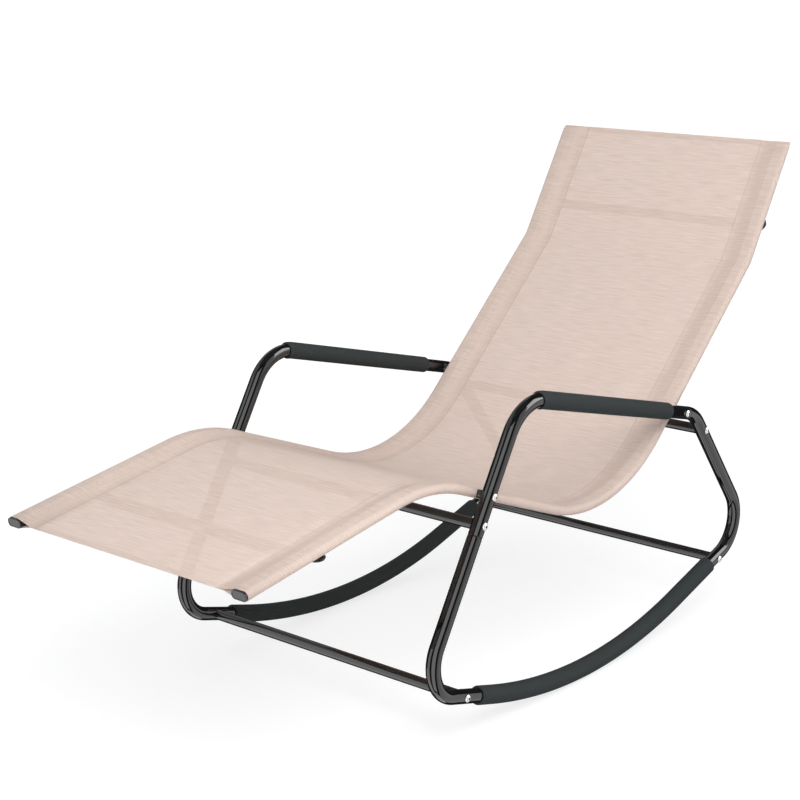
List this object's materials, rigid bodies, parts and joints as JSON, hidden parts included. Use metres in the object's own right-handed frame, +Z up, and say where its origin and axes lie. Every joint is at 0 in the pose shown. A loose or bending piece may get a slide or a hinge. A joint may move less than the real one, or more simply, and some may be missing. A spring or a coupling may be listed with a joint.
{
  "type": "rocking chaise lounge",
  "caption": "Rocking chaise lounge: a bent steel tube frame on curved foam-covered rockers carries a stretched mesh sling with a raised knee part and a high back.",
  "frame": {"origin": "centre of the chair's bounding box in plan, at ground height, with the rockers standing on the ground", "axes": "+X across the width to the side that is nearer in the picture, +Y from the foot end to the head end, +Z up"},
  "size_m": [0.6128, 1.5294, 0.8949],
  "materials": {
    "frame_steel": "glossy black powder coat",
    "bar_steel": "glossy black powder coat",
    "rail_steel": "black powder coat",
    "foam": "matte charcoal closed-cell foam",
    "mesh_fabric": "beige open-weave sling mesh",
    "plastic": "matte black moulded plastic",
    "hardware": "bright zinc plate"
  },
  "bodies": {
    "root": {"arm_tube_left": "frame_steel", "rocker_tube_left": "frame_steel", "arm_foam_left": "foam", "rocker_foam_left": "foam", "lower_rail_left": "rail_steel", "upper_rail_left": "rail_steel", "rail_spigot_left": "rail_steel", "foot_cap_left": "plastic", "head_cap_left": "plastic", "seat_rail_spacer_left": "plastic", "back_rail_spacer_left": "plastic", "seat_rail_bolt_left": "hardware", "back_rail_bolt_left": "hardware", "mid_bar_bolt_left": "hardware", "front_lower_bar_bolt_left": "hardware", "rear_lower_bar_bolt_left": "hardware", "rear_upper_bar_bolt_left": "hardware", "seat_rail_nut_left": "hardware", "back_rail_nut_left": "hardware", "foot_brace_screw_left": "hardware", "head_brace_screw_left": "hardware", "front_lower_bar_plug_left": "hardware", "mid_bar_plug_left": "hardware", "rear_lower_bar_plug_left": "hardware", "rear_upper_bar_plug_left": "hardware", "arm_tube_right": "frame_steel", "rocker_tube_right": "frame_steel", "arm_foam_right": "foam", "rocker_foam_right": "foam", "lower_rail_right": "rail_steel", "upper_rail_right": "rail_steel", "rail_spigot_right": "rail_steel", "foot_cap_right": "plastic", "head_cap_right": "plastic", "seat_rail_spacer_right": "plastic", "back_rail_spacer_right": "plastic", "seat_rail_bolt_right": "hardware", "back_rail_bolt_right": "hardware", "mid_bar_bolt_right": "hardware", "front_lower_bar_bolt_right": "hardware", "rear_lower_bar_bolt_right": "hardware", "rear_upper_bar_bolt_right": "hardware", "seat_rail_nut_right": "hardware", "back_rail_nut_right": "hardware", "foot_brace_screw_right": "hardware", "head_brace_screw_right": "hardware", "front_lower_bar_plug_right": "hardware", "mid_bar_plug_right": "hardware", "rear_lower_bar_plug_right": "hardware", "rear_upper_bar_plug_right": "hardware", "front_lower_crossbar": "bar_steel", "mid_crossbar": "bar_steel", "rear_lower_crossbar": "bar_steel", "rear_upper_crossbar": "bar_steel", "foot_brace": "bar_steel", "head_brace": "bar_steel", "sling": "mesh_fabric"}
  },
  "joints": []
}
